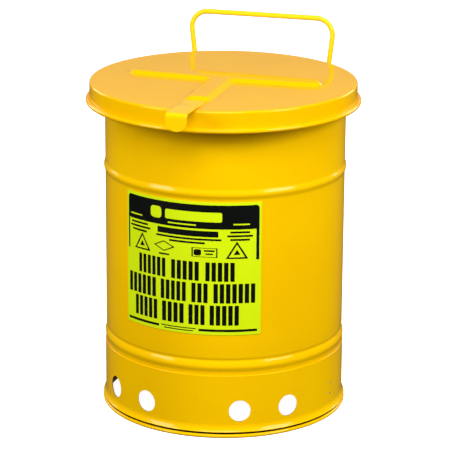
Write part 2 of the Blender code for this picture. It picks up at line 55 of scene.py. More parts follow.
# General
SIDES = 216                     # facets round the drum, the skirt and the lid
SHEET = 0.001                   # thickness of the drum, skirt and lid sheet
GAP = 0.0003                    # working gap between pieces that touch

# Edges that turn by more than these angles are shaded sharp
SHARP = 32
LID_SHARP = 50
TAB_SHARP = 40

# Drum
BODY_RADIUS = 0.142
BODY_BOTTOM = 0.058
RIM_TOP = 0.3948
RIM_TUBE = 0.0025
RIM_OFFSET = 0.0014             # from the drum's inner face to the rim tube's centre
RIM_NECK = 0.004
UPPER_BEAD_HEIGHT = 0.2932
LOWER_BEAD_HEIGHT = 0.0865
BEAD_HALF_HEIGHT = 0.0072
UPPER_BEAD_DEPTH = 0.0017
LOWER_BEAD_DEPTH = 0.0014
LOWER_GROOVE_HEIGHT = 0.0946
LOWER_GROOVE_HALF_HEIGHT = 0.0035
LOWER_GROOVE_DEPTH = 0.0007
SEAM_HALF_WIDTH = 0.0032
SEAM_HEIGHT = 0.0003

# Raised floor
FLOOR_HEIGHT = 0.064
FLOOR_CORNER = 0.003

# Skirt and foot ring
SKIRT_RADIUS = BODY_RADIUS + GAP + SHEET
SKIRT_TOP = 0.0763
SKIRT_BOTTOM = 0.0073
FLARE_START = 0.0165
FLARE_RADIUS = 0.1463
VENT_RADIUS = 0.0127
VENT_EDGE = 0.0004              # softened rim of each hole
VENT_HEIGHT = 0.033
VENT_ANGLES = (23.4, 47.5, 132.5, 156.6)
SMALL_HOLE_RADIUS = 0.0015
SMALL_HOLE_EDGE = 0.0002
SMALL_HOLE_ANGLE = 77.5
SMALL_HOLE_HEIGHTS = (0.028, 0.041)
FOOT_RADIUS = 0.1465
FOOT_INNER_RADIUS = 0.1407
FOOT_HEIGHT = 0.0046
FOOT_LIP_TOP = 0.0165

# Lid
LID_CENTRE_Y = -0.0089
LID_TOP = 0.3961
LID_RADIUS = 0.157
LID_CORNER = 0.0026
CURL_RADIUS = 0.0028
CURL_CENTRE_RADIUS = 0.1588
CURL_HEIGHT = 0.3737

# Pressed T on the lid, measured from the lid's centre
RIB_HEIGHT = 0.0045
RIB_SLOPE = 0.007
RIB_BAR_Y = 0.0055
RIB_BAR_HALF_LENGTH = 0.120
RIB_BAR_HALF_WIDTH = 0.0215
RIB_BAR_END_HALF_WIDTH = 0.0145
RIB_BAR_END = 0.010
RIB_STEM_HALF_WIDTH = 0.016
RIB_STEM_END_Y = -0.112

# Lift tab
TAB_THICKNESS = 0.0015
TAB_HALF_WIDTH = 0.0122
TAB_TAIL_Y = -0.1255
TAB_LIFT_Y = -0.140
TAB_FRONT_Y = -0.1985
TAB_TOP = 0.3998
TAB_TIP = 0.3790

# Hinge
HINGE_Y = 0.158
HINGE_Z = 0.378
HINGE_MIDDLE = (0, HINGE_Y, HINGE_Z)
PIN_RADIUS = 0.0025
BORE_RADIUS = PIN_RADIUS + GAP
KNUCKLE_RADIUS = 0.0042
CENTRE_KNUCKLE_HALF = 0.020
SIDE_KNUCKLE_START = 0.0204
SIDE_KNUCKLE_END = 0.038
PIN_HEAD_THICKNESS = 0.002
LEAF_THICKNESS = 0.0012
LEAF_HALF_ANGLE = 14.5
LEAF_BOTTOM = 0.3810
LEAF_TOP = 0.3925
LUG_THICKNESS = 0.0018
BRACKET_THICKNESS = 0.0020
ARM_THICKNESS = 0.0016          # of the arm and the stop tongue
BRACKET_HALF_ANGLE = 16.0
BRACKET_BOTTOM = 0.322
BRACKET_TOP = 0.3615
STOP_HALF_WIDTH = 0.007
STOP_TOP = 0.3894

# Rivets
RIVET_RADIUS = 0.0016
RIVET_HEAD_RADIUS = 0.0031
RIVET_HEAD_HEIGHT = 0.0014
RIVET_TAIL_RADIUS = 0.0025
RIVET_TAIL_HEIGHT = 0.0008
BRACKET_RIVET_ANGLE = 11.0
BRACKET_RIVET_HEIGHTS = (("lower", 0.331), ("upper", 0.350))
LEAF_RIVET_X = 0.013
LEAF_RIVET_HEIGHT = 0.3873

# Carrying handle
WIRE_RADIUS = 0.0031
HANDLE_Y = 0.1614
GRIP_HEIGHT = 0.4395
GRIP_HALF_WIDTH = 0.0920
LEG_BEND = (0.0836, 0.364)
WALL_ANGLE = 34.0
LEG_FOOT_HEIGHT = 0.332
WIRE_END_HEIGHT = 0.3085
GRIP_CORNER_RADIUS = 0.020
LEG_CORNER_RADIUS = 0.012
CLAMP_BOTTOM = 0.3115
CLAMP_TOP = 0.3255
CLAMP_THICKNESS = 0.0012
CLAMP_REACH = 0.0155
CLAMP_RIVET_OFFSET = 0.0105

# Label
LABEL_INNER = BODY_RADIUS + GAP
LABEL_OUTER = LABEL_INNER + 0.0003
LABEL_MIDDLE = -1.5             # degrees round from the front
LABEL_HALF_ANGLE = 34.5
LABEL_BOTTOM = 0.1260
LABEL_TOP = 0.2846
LABEL_CORNER = 0.0012
LABEL_WIDTH = 2 * math.radians(LABEL_HALF_ANGLE) * LABEL_OUTER
LABEL_DEPTH = LABEL_TOP - LABEL_BOTTOM
INK_LAYER = 0.00012

# Printed shapes, as fractions of the label's width and depth: left, right, top and bottom. A fifth value
# is the radius of the corners in metres.
LABEL_BARS = (
    (0.015, 0.028, 0.15, 0.43),
    (0.965, 0.985, 0.15, 0.43),
    (0.28, 0.71, 0.216, 0.260),
    (0.27, 0.73, 0.273, 0.287),
    (0.37, 0.62, 0.300, 0.314),
    (0.05, 0.20, 0.215, 0.229),
    (0.04, 0.22, 0.243, 0.257),
    (0.06, 0.19, 0.271, 0.285),
    (0.79, 0.92, 0.215, 0.229),
    (0.77, 0.94, 0.243, 0.257),
    (0.79, 0.92, 0.271, 0.285),
    (0.29, 0.37, 0.412, 0.424),
    (0.615, 0.685, 0.357, 0.369),
    (0.625, 0.675, 0.382, 0.392),
    (0.015, 0.29, 0.957, 0.975),
    (0.58, 0.975, 0.957, 0.975),
    (0.31, 0.56, 0.955, 0.962),
    (0.33, 0.54, 0.973, 0.980),
)
LABEL_LIGHT_BARS = (
    (0.225, 0.310, 0.066, 0.154, 0.004),
    (0.34, 0.735, 0.076, 0.148, 0.002),
    (0.04, 0.15, 0.158, 0.168),
    (0.36, 0.56, 0.170, 0.180),
    (0.81, 0.92, 0.158, 0.168),
)
LABEL_TRIANGLES = ((0.08, 0.22), (0.76, 0.91))
LABEL_TRIANGLE_TOP = 0.29
LABEL_TRIANGLE_FOOT = 0.42
LABEL_DIAMOND = ((0.25, 0.357), (0.33, 0.397), (0.41, 0.357), (0.33, 0.317))

# Three rows of upright strokes: the top, the bottom, and the two sides of each group
LABEL_ROWS = (
    (0.449, 0.592, ((0.12, 0.34), (0.385, 0.58), (0.625, 0.82))),
    (0.610, 0.757, ((0.025, 0.265), (0.305, 0.49), (0.53, 0.64), (0.68, 0.96))),
    (0.775, 0.926, ((0.085, 0.275), (0.315, 0.475), (0.51, 0.62), (0.655, 0.85))),
)
LABEL_STROKE_PITCH = 0.040
LABEL_STROKE_GAP = 0.013
LABEL_STROKE_CORNER = 0.0006    # metres

# Camera, round the drum's axis
CAMERA_AZIMUTH = 15.9           # from the front towards +X
CAMERA_DISTANCE = 2.689
CAMERA_HEIGHT = 1.0252
CAMERA_YAW = 0.0001             # radians
CAMERA_PITCH = -0.2925
CAMERA_ROLL = 0.0062
CAMERA_LENS = 187.89
CAMERA_SENSOR = 36.0

# The room that the can reflects: a dim front, a brighter backdrop, and little from below the horizon
ROOM_COLOUR = (1.0, 0.72, 0.66)
ROOM_FRONT = 0.06
ROOM_BACK = 0.55
ROOM_BACK_FADE = (0.2, 0.9)     # cosine of the angle from the backdrop's middle
ROOM_FLOOR = 0.15
ROOM_FLOOR_FADE = (-0.10, 0.12)  # sine of the elevation
FLOOR_DISC_RADIUS = 9.0
FLOOR_GLOW = 0.97

# Soft lights: azimuth from the camera's side, elevation, distance, width, height and power
SOFTBOXES = {
    "softbox_right": (52, 26, 2.3, 1.1, 1.2, 42.0),
    "softbox_left": (-60, 20, 2.3, 0.9, 1.2, 30.0),
    "softbox_front": (-4, 46, 2.4, 1.4, 1.2, 37.0),
    "softbox_rear_right": (130, 16, 2.3, 1.0, 1.2, 13.0),
    "softbox_rear_left": (-130, 16, 2.3, 1.0, 1.2, 13.0),
}
LIGHT_AIM_HEIGHT = 0.25

# Colours, each with the deeper shade that it drifts to
YELLOW = (0.95, 0.56, 0.0004)
YELLOW_DEEP = (0.93, 0.53, 0.0003)
# The lid's yellow is a darker, more orange copy of the drum's yellow: painted shade for the lid's top
LID_PAINTED_SHADE_YELLOW = (0.94, 0.52, 0.0004)
LID_PAINTED_SHADE_YELLOW_DEEP = (0.92, 0.50, 0.0003)
# The tab's yellow is a lighter copy of the drum's yellow: painted light for the tab's front, which faces the
# lights
TAB_PAINTED_LIGHT_YELLOW = (0.95, 0.61, 0.002)
TAB_PAINTED_LIGHT_YELLOW_DEEP = (0.93, 0.59, 0.002)
LEMON = (0.93, 0.66, 0.012)
LEMON_DEEP = (0.91, 0.63, 0.010)
# Dark brown for the holes' cut walls: painted shade for the unlit thickness of the sheet round each hole
PAINTED_HOLE_SHADE = (0.12, 0.075, 0.012)
PAINTED_HOLE_SHADE_DEEP = (0.08, 0.050, 0.010)
# Near black for the groove above the foot ring: painted shade for the deep, unlit groove
PAINTED_GROOVE_SHADE = (0.030, 0.018, 0.004)
PAINTED_GROOVE_SHADE_DEEP = (0.015, 0.009, 0.003)
DUST_NIB = (0.80, 0.74, 0.6)     # multiplies the paint under it
LIME = (0.72, 0.90, 0.006)
LIME_DEEP = (0.66, 0.86, 0.004)
INK = (0.004, 0.006, 0.005)
INK_DEEP = (0.003, 0.004, 0.003)
ZINC = (0.60, 0.60, 0.58)
ZINC_DEEP = (0.46, 0.46, 0.44)
FLOOR_PALE = (0.95, 0.95, 0.95)
FLOOR_GREY = (0.92, 0.92, 0.92)


# -------- materials

def put(tree, node, key, value):
    """Set one input of a node, by a link if the value is another node's output."""
    if isinstance(value, bpy.types.NodeSocket):
        tree.links.new(value, node.inputs[key])
    else:
        node.inputs[key].default_value = value


def add_node(tree, kind, inputs, **settings):
    """Add a node. Its settings come first, because they decide which inputs it has."""
    made = tree.nodes.new(kind)
    for key, value in settings.items():
        setattr(made, key, value)
    for key, value in inputs.items():
        put(tree, made, key, value)
    return made


class Finish:
    """A Principled material while it is being built. Its textures are fixed to the piece."""

    def __init__(self, name):
        self.material = bpy.data.materials.new(name)
        self.material.use_nodes = True
        self.tree = self.material.node_tree
        self.shader = self.tree.nodes["Principled BSDF"]
        self.place = self.tree.nodes.new("ShaderNodeTexCoord").outputs["Object"]

    def set(self, key, value):
        """Set one input of the shader."""
        put(self.tree, self.shader, key, value)

    def add(self, kind, output, inputs, **settings):
        """Add a texture or a converter, and give back one of its outputs."""
        return add_node(self.tree, kind, inputs, **settings).outputs[output]

    def noise(self, scale, detail):
        inputs = {"Vector": self.place, "Scale": scale, "Detail": detail}
        return self.add("ShaderNodeTexNoise", "Fac", inputs)

    def ramp(self, source, *stops):
        """Two colours, each at its place on a 0 to 1 scale."""
        made = add_node(self.tree, "ShaderNodeValToRGB", {"Fac": source})
        for element, (position, colour) in zip(made.color_ramp.elements, stops):
            element.position = position
            element.color = (*colour, 1)
        return made.outputs["Color"]

    def roughness(self, source, low, high):
        """Vary the roughness between two values."""
        inputs = {"Value": source, "To Min": low, "To Max": high}
        self.set("Roughness", self.add("ShaderNodeMapRange", "Result", inputs))

    def bump(self, source, strength, distance):
        inputs = {"Height": source, "Strength": strength, "Distance": distance}
        self.set("Normal", self.add("ShaderNodeBump", "Normal", inputs))


def enamel(name, light=YELLOW, deep=YELLOW_DEEP, gloss=(0.10, 0.17), peel=0.05):
    """Sprayed gloss enamel: slow colour drift, fine dust nibs, and the faint ripple of orange peel."""
    finish = Finish(name)
    colour = finish.ramp(finish.noise(9.0, 3.0), (0.35, deep), (0.65, light))
    nibs = finish.ramp(finish.noise(700.0, 2.0), (0.26, DUST_NIB), (0.32, (1, 1, 1)))
    inputs = {"Factor": 1.0, "A": colour, "B": nibs}
    dusty = finish.add("ShaderNodeMix", "Result", inputs, data_type="RGBA", blend_type="MULTIPLY")
    finish.set("Base Color", dusty)
    finish.roughness(finish.noise(35.0, 4.0), *gloss)
    finish.bump(finish.noise(420.0, 1.0), peel, 0.0004)
    finish.set("Specular IOR Level", 0.2)
    return finish.material


def printed_vinyl(name, light, deep):
    """Screen-printed vinyl: nearly even colour with a fine print grain and a soft shine."""
    finish = Finish(name)
    drift = finish.noise(14.0, 2.0)
    grain = finish.noise(1500.0, 1.0)
    blend = finish.add("ShaderNodeMath", "Value", {0: grain, 1: 0.4, 2: drift}, operation="MULTIPLY_ADD")
    finish.set("Base Color", finish.ramp(blend, (0.45, deep), (0.95, light)))
    finish.roughness(drift, 0.24, 0.36)
    finish.bump(grain, 0.04, 0.0001)
    finish.set("Specular IOR Level", 0.3)
    return finish.material


def zinc_plate(name):
    """Zinc plating: bright steel with a mottled, lightly brushed grain."""
    finish = Finish(name)
    mottle = finish.noise(260.0, 4.0)
    finish.set("Base Color", finish.ramp(mottle, (0.3, ZINC_DEEP), (0.7, ZINC)))
    finish.roughness(mottle, 0.28, 0.45)
    finish.bump(mottle, 0.1, 0.0001)
    finish.set("Metallic", 1.0)
    return finish.material


def studio_floor():
    """A pale floor that glows softly, so that it stays near white."""
    finish = Finish("pale_floor")
    finish.set("Base Color", finish.ramp(finish.noise(3.0, 2.0), (0.3, FLOOR_GREY), (0.7, FLOOR_PALE)))
    finish.set("Roughness", 1.0)
    finish.set("Specular IOR Level", 0.0)
    finish.set("Emission Color", (1, 1, 1, 1))
    finish.set("Emission Strength", FLOOR_GLOW)
    return finish.material


# -------- mesh helpers

def polar(radius, angle, centre_y=0.0):
    """A point in plan at an angle from the front."""
    turn = math.radians(angle)
    return radius * math.sin(turn), centre_y - radius * math.cos(turn)


def arc(centre, radius, start, end, steps):
    """Points on an arc in a 2-D plane, angles in degrees."""
    points = []
    for k in range(steps + 1):
        turn = math.radians(start + (end - start) * k / steps)
        points.append((centre[0] + radius * math.cos(turn), centre[1] + radius * math.sin(turn)))
    return points


def lathe(outline, centre_y=0.0, sides=SIDES, closed=True):
    """Turn an outline of (radius, height) points about a vertical axis."""
    bm = bmesh.new()
    rings = []
    for radius, height in outline:
        if radius == 0:
            rings.append([bm.verts.new((0, centre_y, height))] * sides)
            continue
        ring = []
        for k in range(sides):
            x, y = polar(radius, 360 * k / sides, centre_y)
            ring.append(bm.verts.new((x, y, height)))
        rings.append(ring)
    pairs = list(zip(rings, rings[1:]))
    if closed:
        pairs.append((rings[-1], rings[0]))
    for ring, following in pairs:
        for k in range(sides):
            corners = list(dict.fromkeys([ring[k], ring[k - 1], following[k - 1], following[k]]))
            if len(corners) > 2:
                bm.faces.new(corners)
    return bm


def spindle(outline, start, direction, sides=32):
    """A turned piece whose outline is measured along a direction from a start point."""
    bm = lathe(outline, sides=sides)
    turn = Vector(direction).to_track_quat("Z", "Y").to_matrix().to_4x4()
    bmesh.ops.transform(bm, matrix=Matrix.Translation(start) @ turn, verts=bm.verts)
    return bm


def bridge(bm, rows, closed=True):
    """Join rows of points with four-sided faces. Closed rows also join their last point to their first."""
    for row, following in zip(rows, rows[1:]):
        for k in range(0 if closed else 1, len(row)):
            bm.faces.new([row[k - 1], row[k], following[k], following[k - 1]])


def extrude_outline(outline, low, high):
    """A closed prism over an outline in x and y, from one height to another."""
    bm = bmesh.new()
    bottom = [bm.verts.new((x, y, low)) for x, y in outline]
    top = [bm.verts.new((x, y, high)) for x, y in outline]
    bm.faces.new(bottom)
    bm.faces.new(top)
    bridge(bm, [bottom, top])
    return bm


def rounded_rectangle(left, right, low, high, radius, steps=4):
    """A rectangle with rounded corners, anticlockwise."""
    points = arc((right - radius, high - radius), radius, 0, 90, steps)
    points += arc((left + radius, high - radius), radius, 90, 180, steps)
    points += arc((left + radius, low + radius), radius, 180, 270, steps)
    points += arc((right - radius, low + radius), radius, 270, 360, steps)
    return points


def wrap(bm, middle, centre_y=0.0, step=2.0):
    """Bend a flat piece round a wall: x is measured along the wall, y is height and z is the radius."""
    xs = [v.co.x for v in bm.verts]
    width = math.radians(step) * BODY_RADIUS
    for k in range(math.ceil(min(xs) / width), math.floor(max(xs) / width) + 1):
        geometry = bm.verts[:] + bm.edges[:] + bm.faces[:]
        bmesh.ops.bisect_plane(bm, geom=geometry, dist=1e-7, plane_co=(k * width, 0, 0), plane_no=(1, 0, 0))
    for v in bm.verts:
        x, y = polar(v.co.z, middle + math.degrees(v.co.x / v.co.z), centre_y)
        v.co = (x, y, v.co.y)
    return bm


def wrapped_plate(outline, inner, outer, middle, centre_y=0.0):
    """A plate that hugs a wall, with an outline along the wall and up it."""
    return wrap(extrude_outline(outline, inner, outer), middle, centre_y)


def soften(bm, width, segments=2, angle=35):
    """Round off a bmesh's sharp edges."""
    bm.normal_update()
    sharp = [e for e in bm.edges if len(e.link_faces) == 2 and e.calc_face_angle() > math.radians(angle)]
    bmesh.ops.bevel(bm, geom=sharp, offset=width, segments=segments, profile=0.5, affect="EDGES",
                    clamp_overlap=True)
    return bm


def join(*parts):
    """Gather several bmeshes in one."""
    whole = bmesh.new()
    for part in parts:
        bmesh.ops.recalc_face_normals(part, faces=part.faces)
        held = bpy.data.meshes.new("held")
        part.to_mesh(held)
        part.free()
        whole.from_mesh(held)
        bpy.data.meshes.remove(held)
    return whole


def shade(mesh, sharp):
    """Shade smoothly, apart from the edges that turn by more than an angle."""
    mesh.shade_smooth()
    mesh.set_sharp_from_angle(angle=math.radians(sharp))


def to_object(name, bm, recalculate=True, sharp=SHARP):
    if recalculate:
        bmesh.ops.recalc_face_normals(bm, faces=bm.faces)
    mesh = bpy.data.meshes.new(name)
    bm.to_mesh(mesh)
    bm.free()
    shade(mesh, sharp)
    obj = bpy.data.objects.new(name, mesh)
    bpy.context.scene.collection.objects.link(obj)
    return obj


def apply_modifier(obj, kind, **settings):
    """Add a modifier, bake it into the mesh and remove it."""
    modifier = obj.modifiers.new(kind.lower(), kind)
    for key, value in settings.items():
        setattr(modifier, key, value)
    bpy.context.view_layer.update()
    evaluated = obj.evaluated_get(bpy.context.evaluated_depsgraph_get())
    baked = bpy.data.meshes.new_from_object(evaluated)
    obj.modifiers.clear()
    old = obj.data
    obj.data = baked
    bpy.data.meshes.remove(old)


def cut(obj, tool_mesh):
    """Cut a tool's shape out of an object."""
    tool = to_object(obj.name + "_tool", tool_mesh)
    apply_modifier(obj, "BOOLEAN", operation="DIFFERENCE", object=tool, solver="EXACT")
    spent = tool.data
    bpy.data.objects.remove(tool)
    bpy.data.meshes.remove(spent)


def place_piece(obj, body, slot, material, *nodes):
    """Move a finished piece to the frame's axis, give it its finish, and tie it to the CAD."""
    obj.data.transform(Matrix.Translation(AXIS))
    obj.data.materials.clear()
    obj.data.materials.append(material)
    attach(obj, body)
    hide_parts(*nodes)


def paint_piece(obj, body, material, node_name):
    place_piece(obj, body, "yellow_paint", material, node_name)


def second_finish(obj, material, chosen):
    """Give a second finish to the faces of a placed piece whose middle passes a test of radius and height."""
    obj.data.materials.append(material)
    for face in obj.data.polygons:
        middle = face.center - AXIS
        if chosen(math.hypot(middle.x, middle.y), middle.z):
            face.material_index = 1


# -------- drum

def hump(offset, half):
    """A smooth rise and fall: 1 at its middle and 0 at its edges."""
    return math.cos(math.pi * min(abs(offset) / half, 1) / 2) ** 2


def bead(radius, height, depth, steps=16):
    """A rounded bead on a wall, from its top edge to its bottom edge."""
    points = []
    for k in range(steps + 1):
        offset = BEAD_HALF_HEIGHT * (1 - 2 * k / steps)
        points.append((radius + depth * hump(offset, BEAD_HALF_HEIGHT), height + offset))
    return points


def grooved_bead(radius, steps=28):
    """The lower bead with the shallow groove that its pressing leaves above it."""
    high = LOWER_GROOVE_HEIGHT + LOWER_GROOVE_HALF_HEIGHT
    low = LOWER_BEAD_HEIGHT - BEAD_HALF_HEIGHT
    points = []
    for k in range(steps + 1):
        height = high + (low - high) * k / steps
        out = LOWER_BEAD_DEPTH * hump(height - LOWER_BEAD_HEIGHT, BEAD_HALF_HEIGHT)
        groove = LOWER_GROOVE_DEPTH * hump(height - LOWER_GROOVE_HEIGHT, LOWER_GROOVE_HALF_HEIGHT)
        points.append((radius + out - groove, height))
    return points


def plain(radius, high, low, rows):
    """Points down a straight wall, without its ends."""
    return [(radius, high + (low - high) * k / rows) for k in range(1, rows)]


def wall(radius):
    """The beaded wall from below the rim to the bottom."""
    points = bead(radius, UPPER_BEAD_HEIGHT, UPPER_BEAD_DEPTH)
    lower = grooved_bead(radius)
    points += plain(radius, UPPER_BEAD_HEIGHT - BEAD_HALF_HEIGHT, lower[0][1], 8)
    points += lower
    points.append((radius, BODY_BOTTOM))
    return points


def build_drum():
    inner = BODY_RADIUS - SHEET
    rim_height = RIM_TOP - RIM_TUBE
    outline = [(inner, rim_height - RIM_NECK)]
    outline += arc((inner + RIM_OFFSET, rim_height), RIM_TUBE, 205, -70, 16)
    outline.append((BODY_RADIUS, rim_height - RIM_NECK))
    outline += wall(BODY_RADIUS)
    outline += reversed(wall(inner))
    drum = to_object("drum_shell", lathe(outline))
    paint_piece(drum, "can", enamel("drum_enamel"), "body_shell")


def build_side_seam():
    """The welded lap down the back of the drum, below the hinge bracket."""
    high = BRACKET_BOTTOM - 0.0015
    low = SKIRT_TOP + 0.0012
    profile = [(BODY_RADIUS, high)]
    profile += [p for p in wall(BODY_RADIUS) if low < p[1] < high]
    profile.append((BODY_RADIUS, low))
    bm = bmesh.new()
    rows = []
    for radius, height in profile:
        row = []
        for k in range(-6, 7):
            t = k / 6
            lift = SEAM_HEIGHT * (1 - t ** 4) - 0.0001
            angle = 180 + math.degrees(SEAM_HALF_WIDTH * t / BODY_RADIUS)
            x, y = polar(radius + lift, angle)
            row.append(bm.verts.new((x, y, height)))
        rows.append(row)
    bridge(bm, rows, closed=False)
    seam = to_object("drum_side_seam", bm)
    paint_piece(seam, "can", enamel("seam_enamel"), "body_shell")


def build_raised_floor():
    """The dished pan pressed into the bottom of the drum."""
    outer = BODY_RADIUS - SHEET - GAP
    inner = outer - SHEET
    corner = (outer - FLOOR_CORNER, FLOOR_HEIGHT - FLOOR_CORNER)
    outline = [(share * outer, FLOOR_HEIGHT) for share in (0, 0.5, 0.88)]
    outline += arc(corner, FLOOR_CORNER, 90, 0, 8)
    outline += [(outer, BODY_BOTTOM + 0.0004), (outer - 0.0004, BODY_BOTTOM)]
    outline += [(inner + 0.0004, BODY_BOTTOM), (inner, BODY_BOTTOM + 0.0004)]
    outline += arc(corner, FLOOR_CORNER - SHEET, 0, 90, 8)
    outline += [(share * outer, FLOOR_HEIGHT - SHEET) for share in (0.88, 0.5, 0)]
    pan = to_object("raised_floor", lathe(outline))
    paint_piece(pan, "can", enamel("floor_enamel"), "bottom_pan")


# -------- skirt and foot

def hole_tool(radius, edge, angle, height, sides):
    """A cutter along the wall's normal that opens out at both faces, to leave a softened edge."""
    outer = SKIRT_RADIUS
    inner = SKIRT_RADIUS - SHEET
    outline = [(0, outer + 0.02), (radius + edge + 0.02, outer + 0.02), (radius + edge, outer + 0.0001)]
    outline += [(radius + edge * 0.3, outer - edge * 0.35), (radius, outer - edge), (radius, inner + edge)]
    outline += [(radius + edge * 0.3, inner + edge * 0.35), (radius + edge, inner - 0.0004)]
    outline += [(radius + edge, inner - 0.012), (0, inner - 0.012)]
    return spindle(outline, (0, 0, height), (*polar(1.0, angle), 0), sides)


def radial_normals(obj, low, high, tolerance=0.0016):
    """Give the upright wall faces the normals of a true cylinder, so that holes leave no shading marks."""
    mesh = obj.data
    normals = [Vector(n.vector) for n in mesh.corner_normals]
    for polygon in mesh.polygons:
        middle = polygon.center
        out = Vector((middle.x, middle.y, 0))
        upright = abs(polygon.normal.z) < 0.02 and abs(polygon.normal.dot(out.normalized())) > 0.998
        if upright and low < middle.z < high and abs(out.length - SKIRT_RADIUS) < tolerance:
            side = 1 if polygon.normal.dot(out) > 0 else -1
            for index in polygon.loop_indices:
                corner = mesh.vertices[mesh.loops[index].vertex_index].co
                normals[index] = Vector((corner.x, corner.y, 0)).normalized() * side
    mesh.normals_split_custom_set(normals)


def build_skirt():
    inner = SKIRT_RADIUS - SHEET
    flare = FLARE_RADIUS - SKIRT_RADIUS
    lip = SHEET / 2
    outline = arc((SKIRT_RADIUS - lip, SKIRT_TOP - lip), lip, 180, 0, 6)
    outline += plain(SKIRT_RADIUS, SKIRT_TOP - lip, FLARE_START, 3)
    steps = 8
    outer_flare = []
    for k in range(steps + 1):
        t = k / steps
        height = FLARE_START + (SKIRT_BOTTOM + lip - FLARE_START) * t
        outer_flare.append((SKIRT_RADIUS + flare * t ** 2, height))
    outline += outer_flare
    outline += arc((FLARE_RADIUS - lip, SKIRT_BOTTOM + lip), lip, -20, -160, 5)
    outline += [(radius - SHEET, height) for radius, height in reversed(outer_flare[:-1])]
    outline += plain(inner, FLARE_START, SKIRT_TOP - lip, 3)
    skirt = to_object("vented_skirt", lathe(outline))
    tools = []
    for side in (-1, 1):
        for angle in VENT_ANGLES:
            tools.append(hole_tool(VENT_RADIUS, VENT_EDGE, side * angle, VENT_HEIGHT, 64))
        for height in SMALL_HOLE_HEIGHTS:
            tools.append(hole_tool(SMALL_HOLE_RADIUS, SMALL_HOLE_EDGE, side * SMALL_HOLE_ANGLE, height, 24))
    cut(skirt, join(*tools))
    shade(skirt.data, SHARP)
    radial_normals(skirt, FLARE_START + 0.0005, SKIRT_TOP - 0.0006)
    paint_piece(skirt, "can", enamel("skirt_enamel"), "base_skirt")
    # The holes' cut walls get a dark finish: painted shade for the unlit thickness of the sheet round each
    # hole
    edge = enamel("hole_wall_painted_shade", PAINTED_HOLE_SHADE, PAINTED_HOLE_SHADE_DEEP, gloss=(0.45, 0.65), peel=0.02)

    def is_cut_edge(radius, height):
        within = inner + 0.0002 < radius < SKIRT_RADIUS - 0.00005
        return within and FLARE_START + 0.001 < height < SKIRT_TOP - 0.002

    second_finish(skirt, edge, is_cut_edge)


def build_foot():
    """The rolled ring that the skirt stands on."""
    lip_outer = SKIRT_RADIUS - SHEET - GAP
    roll = FOOT_HEIGHT / 2
    outline = [(lip_outer - 0.0003, FOOT_LIP_TOP), (lip_outer, FOOT_LIP_TOP - 0.0003)]
    outline.append((lip_outer, FOOT_HEIGHT))
    outline += arc((FOOT_RADIUS - roll, roll), roll, 90, -90, 14)
    outline += arc((FOOT_INNER_RADIUS + 0.001, 0.001), 0.001, -90, -180, 5)
    outline += [(FOOT_INNER_RADIUS, FOOT_LIP_TOP - 0.0003), (FOOT_INNER_RADIUS + 0.0003, FOOT_LIP_TOP)]
    foot = to_object("rolled_foot", lathe(outline))
    paint_piece(foot, "can", enamel("foot_enamel"), "foot_ring")
    # The groove's faces above the foot's roll get a near-black finish: painted shade for the dark of the deep
    # groove between the skirt's flare and the foot
    groove_shade = enamel("groove_painted_shade", PAINTED_GROOVE_SHADE, PAINTED_GROOVE_SHADE_DEEP, gloss=(0.5, 0.75), peel=0.02)

    def is_groove(radius, height):
        return lip_outer - 0.0005 < radius < FOOT_RADIUS - roll and height > FOOT_HEIGHT - 0.0001

    second_finish(foot, groove_shade, is_groove)


# -------- lid

def round_corners(corners, steps=5):
    """Round each (x, y, radius) corner of a closed outline, with the same number of points for each."""
    outline = []
    count = len(corners)
    for k in range(count):
        x, y, radius = corners[k]
        corner = Vector((x, y))
        before = Vector(corners[k - 1][:2]) - corner
        after = Vector(corners[(k + 1) % count][:2]) - corner
        half = before.angle(after) / 2
        if abs(half - math.pi / 2) < 0.01:
            outline += [corner + before.normalized() * 0.0005 * (steps / 2 - j) for j in range(steps + 1)]
            continue
        reach = radius / math.tan(half)
        first = corner + before.normalized() * reach
        last = corner + after.normalized() * reach
        centre = corner + (before.normalized() + after.normalized()).normalized() * radius / math.sin(half)
        start = first - centre
        sweep = start.angle_signed(last - centre)
        for j in range(steps + 1):
            turned = start.copy()
            turned.rotate(Matrix.Rotation(-sweep * j / steps, 2))
            outline.append(centre + turned)
    return outline


def rib_loop(inset):
    """The pressed T in plan, about the lid's centre."""
    stem = RIB_STEM_HALF_WIDTH - inset
    end = RIB_BAR_HALF_LENGTH - inset
    shoulder = RIB_BAR_HALF_LENGTH - RIB_BAR_END
    end_half = RIB_BAR_END_HALF_WIDTH - inset
    middle_half = RIB_BAR_HALF_WIDTH - inset
    front = RIB_STEM_END_Y + inset
    convex = max(0.009 - inset, 0.0022)
    concave = 0.006 + inset
    right = [
        (stem, front, convex),
        (stem, RIB_BAR_Y - middle_half + 0.0012, concave),
        (shoulder, RIB_BAR_Y - end_half, convex),
        (end, RIB_BAR_Y, max(0.012 - inset, 0.003)),
        (shoulder, RIB_BAR_Y + end_half, convex),
    ]
    left = [(-x, y, radius) for x, y, radius in reversed(right)]
    corners = right + [(0, RIB_BAR_Y + middle_half, 0.05)] + left
    return round_corners(corners)


def rib_section():
    """(inset, height) up the rib's slope, with a rounded foot and a rounded shoulder."""
    points = [(-0.0022, 0.0), (-0.0016, 0.0)]
    steps = 12
    for k in range(1, steps):
        t = k / steps
        rise = t * t * (3 - 2 * t)
        points.append((-0.0010 + (RIB_SLOPE + 0.0010) * t, RIB_HEIGHT * (0.35 * t + 0.65 * rise)))
    points += [(RIB_SLOPE + 0.0003, RIB_HEIGHT), (RIB_SLOPE + 0.0009, RIB_HEIGHT)]
    return points


def fill_between(bm, edges):
    """Fill flat ground between loops of edges."""
    bmesh.ops.triangle_fill(bm, use_beauty=True, use_dissolve=False, edges=edges, normal=(0, 0, 1))


def closed_edges(bm, verts):
    edges = []
    for k in range(len(verts)):
        edges.append(bm.edges.get((verts[k - 1], verts[k])) or bm.edges.new((verts[k - 1], verts[k])))
    return edges


